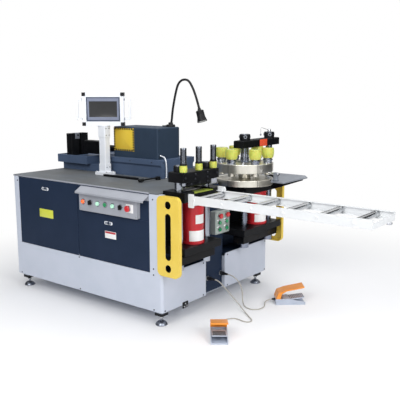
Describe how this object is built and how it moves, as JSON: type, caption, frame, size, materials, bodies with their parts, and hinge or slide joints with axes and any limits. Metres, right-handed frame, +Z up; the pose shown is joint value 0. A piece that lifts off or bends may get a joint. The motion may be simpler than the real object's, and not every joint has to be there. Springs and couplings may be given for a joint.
{
  "type": "busbar processing machine",
  "caption": "Floor-standing busbar machine: a cutting press and a turret punch press hang from its end, a horizontal bending press stands on the table, and a roller conveyor feeds it.",
  "frame": {"origin": "middle of the whole machine's footprint on the floor, cords left out", "axes": "+X along the front towards the conveyor, +Y from the front to the back, +Z up"},
  "size_m": [2.915, 1.346, 1.6352],
  "materials": {
    "cabinet_paint": "powder coat, fine texture",
    "table_paint": "grey hammered paint",
    "navy_paint": "satin powder coat",
    "yellow_paint": "satin powder coat",
    "black_paint": "black oxide and paint",
    "control_paint": "satin powder coat",
    "lamp_lens": "clear moulded lens",
    "black_plastic": "moulded",
    "green_plastic": "moulded",
    "red_plastic": "moulded",
    "box_plastic": "moulded",
    "red_paint": "gloss enamel",
    "tool_steel": "ground",
    "chrome_rod": "hard chrome",
    "polyurethane": "cast, translucent",
    "white_paint": "gloss powder coat",
    "roller_zinc": "zinc plated",
    "orange_plastic": "moulded",
    "pedal_paint": "cast, painted",
    "cord_jacket": "extruded jacket"
  },
  "bodies": {
    "base": {"cabinet_shell": "cabinet_paint", "table_top": "table_paint", "fixed_panels": "navy_paint", "side_guards": "yellow_paint", "levelling_feet": "black_paint", "control_box": "control_paint", "pilot_lamps": "lamp_lens", "press_frames": "black_paint", "lower_blade": "tool_steel", "press_cylinders": "red_paint", "conveyor_frame": "white_paint", "support_plate": "table_paint", "bend_bed": "navy_paint", "bend_hood": "navy_paint", "die_block": "black_paint", "gauge_bar": "black_paint", "hmi_column": "white_paint", "lamp": "black_plastic", "button_box": "box_plastic", "hydraulic_unit": "control_paint", "pedal_bases": "pedal_paint", "pedal_hoods": "orange_plastic", "pedal_cord_cut": "cord_jacket", "pedal_cord_punch": "cord_jacket", "cord_connectors": "black_plastic"},
    "door_left": {"front_door_left": "navy_paint"},
    "door_right": {"front_door_right": "navy_paint"},
    "selector_left": {"selector_left": "black_plastic"},
    "selector_right": {"selector_right": "black_plastic"},
    "push_button": {"push_button": "green_plastic"},
    "emergency_stop": {"emergency_stop": "red_plastic"},
    "box_stop_left": {"box_stop_left": "red_plastic"},
    "box_stop_right": {"box_stop_right": "red_plastic"},
    "box_button_1": {"box_button_1": "green_plastic"},
    "box_button_2": {"box_button_2": "green_plastic"},
    "box_button_3": {"box_button_3": "green_plastic"},
    "box_button_4": {"box_button_4": "green_plastic"},
    "cut_ram": {"cut_beam": "black_paint", "cut_rods": "chrome_rod", "cut_springs": "polyurethane", "upper_blade": "tool_steel"},
    "punch_ram": {"punch_beam": "black_paint", "punch_rods": "chrome_rod"},
    "turret": {"die_disc": "tool_steel", "punch_disc": "tool_steel", "turret_punches": "black_paint", "turret_springs": "polyurethane", "working_spring": "polyurethane"},
    "punch_tool": {"working_punch": "black_paint"},
    "bender": {"bend_ram": "black_paint"},
    "terminal_head": {"hmi_head": "white_paint"},
    "stop_lever": {"stop_lever": "black_paint"},
    "treadle_cut": {"pedal_treadle_cut": "pedal_paint"},
    "treadle_punch": {"pedal_treadle_punch": "pedal_paint"},
    "roller_1": {"roller_1": "roller_zinc"},
    "roller_2": {"roller_2": "roller_zinc"},
    "roller_3": {"roller_3": "roller_zinc"},
    "roller_4": {"roller_4": "roller_zinc"},
    "roller_5": {"roller_5": "roller_zinc"},
    "roller_6": {"roller_6": "roller_zinc"}
  },
  "joints": [
    {"name": "door_left_drop", "type": "hinge", "parent": "base", "child": "door_left", "pos_m": [-1.0295, -0.607, 0.373], "axis": [1, 0, 0], "range_deg": [0, 90]},
    {"name": "door_right_drop", "type": "hinge", "parent": "base", "child": "door_right", "pos_m": [-0.3455, -0.607, 0.373], "axis": [1, 0, 0], "range_deg": [0, 90]},
    {"name": "selector_left_turn", "type": "hinge", "parent": "base", "child": "selector_left", "pos_m": [-0.5195, -0.643, 0.781], "axis": [0, 1, 0], "range_deg": [-45, 45]},
    {"name": "selector_right_turn", "type": "hinge", "parent": "base", "child": "selector_right", "pos_m": [-0.2275, -0.643, 0.781], "axis": [0, 1, 0], "range_deg": [-45, 45]},
    {"name": "push_button_press", "type": "slide", "parent": "base", "child": "push_button", "axis": [0, 1, 0], "range_m": [0, 0.005], "stiffness_N_per_m": 500, "springref_m": -0.002},
    {"name": "emergency_stop_press", "type": "slide", "parent": "base", "child": "emergency_stop", "axis": [0, 1, 0], "range_m": [0, 0.005], "stiffness_N_per_m": 500, "springref_m": -0.002},
    {"name": "box_stop_left_press", "type": "slide", "parent": "base", "child": "box_stop_left", "axis": [-1, 0, 0], "range_m": [0, 0.005], "stiffness_N_per_m": 500, "springref_m": -0.002},
    {"name": "box_stop_right_press", "type": "slide", "parent": "base", "child": "box_stop_right", "axis": [-1, 0, 0], "range_m": [0, 0.005], "stiffness_N_per_m": 500, "springref_m": -0.002},
    {"name": "box_button_1_press", "type": "slide", "parent": "base", "child": "box_button_1", "axis": [-1, 0, 0], "range_m": [0, 0.005], "stiffness_N_per_m": 500, "springref_m": -0.002},
    {"name": "box_button_2_press", "type": "slide", "parent": "base", "child": "box_button_2", "axis": [-1, 0, 0], "range_m": [0, 0.005], "stiffness_N_per_m": 500, "springref_m": -0.002},
    {"name": "box_button_3_press", "type": "slide", "parent": "base", "child": "box_button_3", "axis": [-1, 0, 0], "range_m": [0, 0.005], "stiffness_N_per_m": 500, "springref_m": -0.002},
    {"name": "box_button_4_press", "type": "slide", "parent": "base", "child": "box_button_4", "axis": [-1, 0, 0], "range_m": [0, 0.005], "stiffness_N_per_m": 500, "springref_m": -0.002},
    {"name": "cut_slide", "type": "slide", "parent": "base", "child": "cut_ram", "axis": [0, 0, 1], "range_m": [-0.026, 0]},
    {"name": "punch_slide", "type": "slide", "parent": "base", "child": "punch_ram", "axis": [0, 0, 1], "range_m": [-0.03, 0]},
    {"name": "turret_spin", "type": "hinge", "parent": "base", "child": "turret", "pos_m": [0.1585, 0.249, 0.9], "axis": [0, 0, 1], "continuous": true},
    {"name": "working_punch_slide", "type": "slide", "parent": "turret", "child": "punch_tool", "axis": [0, 0, 1], "range_m": [-0.03, 0], "deforming": ["working_spring"]},
    {"name": "bend_slide", "type": "slide", "parent": "base", "child": "bender", "axis": [1, 0, 0], "range_m": [-0.06, 0.06]},
    {"name": "hmi_swivel", "type": "hinge", "parent": "base", "child": "terminal_head", "pos_m": [-0.8525, -0.183, 1.29], "axis": [0, 0, 1], "range_deg": [-128, 52]},
    {"name": "stop_lever_swing", "type": "hinge", "parent": "base", "child": "stop_lever", "pos_m": [-0.3325, -0.151, 0.916], "axis": [0, 0, 1], "range_deg": [-40, 90]},
    {"name": "roller_1_spin", "type": "hinge", "parent": "base", "child": "roller_1", "pos_m": [0.2945, -0.363, 0.8665], "axis": [0, 1, 0], "continuous": true},
    {"name": "roller_2_spin", "type": "hinge", "parent": "base", "child": "roller_2", "pos_m": [0.5065, -0.363, 0.8665], "axis": [0, 1, 0], "continuous": true},
    {"name": "roller_3_spin", "type": "hinge", "parent": "base", "child": "roller_3", "pos_m": [0.7185, -0.363, 0.8665], "axis": [0, 1, 0], "continuous": true},
    {"name": "roller_4_spin", "type": "hinge", "parent": "base", "child": "roller_4", "pos_m": [0.9305, -0.363, 0.8665], "axis": [0, 1, 0], "continuous": true},
    {"name": "roller_5_spin", "type": "hinge", "parent": "base", "child": "roller_5", "pos_m": [1.1425, -0.363, 0.8665], "axis": [0, 1, 0], "continuous": true},
    {"name": "roller_6_spin", "type": "hinge", "parent": "base", "child": "roller_6", "pos_m": [1.3545, -0.363, 0.8665], "axis": [0, 1, 0], "continuous": true},
    {"name": "treadle_cut_press", "type": "hinge", "parent": "base", "child": "treadle_cut", "pos_m": [0.4515, -0.46499, 0.03], "axis": [-0.7902, -0.6129, 0], "range_deg": [-10, 0], "stiffness_Nm_per_rad": 20, "springref_deg": 5.73},
    {"name": "treadle_punch_press", "type": "hinge", "parent": "base", "child": "treadle_punch", "pos_m": [0.46599, 0.32485, 0.03], "axis": [0.6428, -0.766, 0], "range_deg": [-10, 0], "stiffness_Nm_per_rad": 20, "springref_deg": 5.73}
  ],
  "couplings": [
    {"joint": "working_punch_slide", "follows": "punch_slide", "ratio": 1}
  ]
}
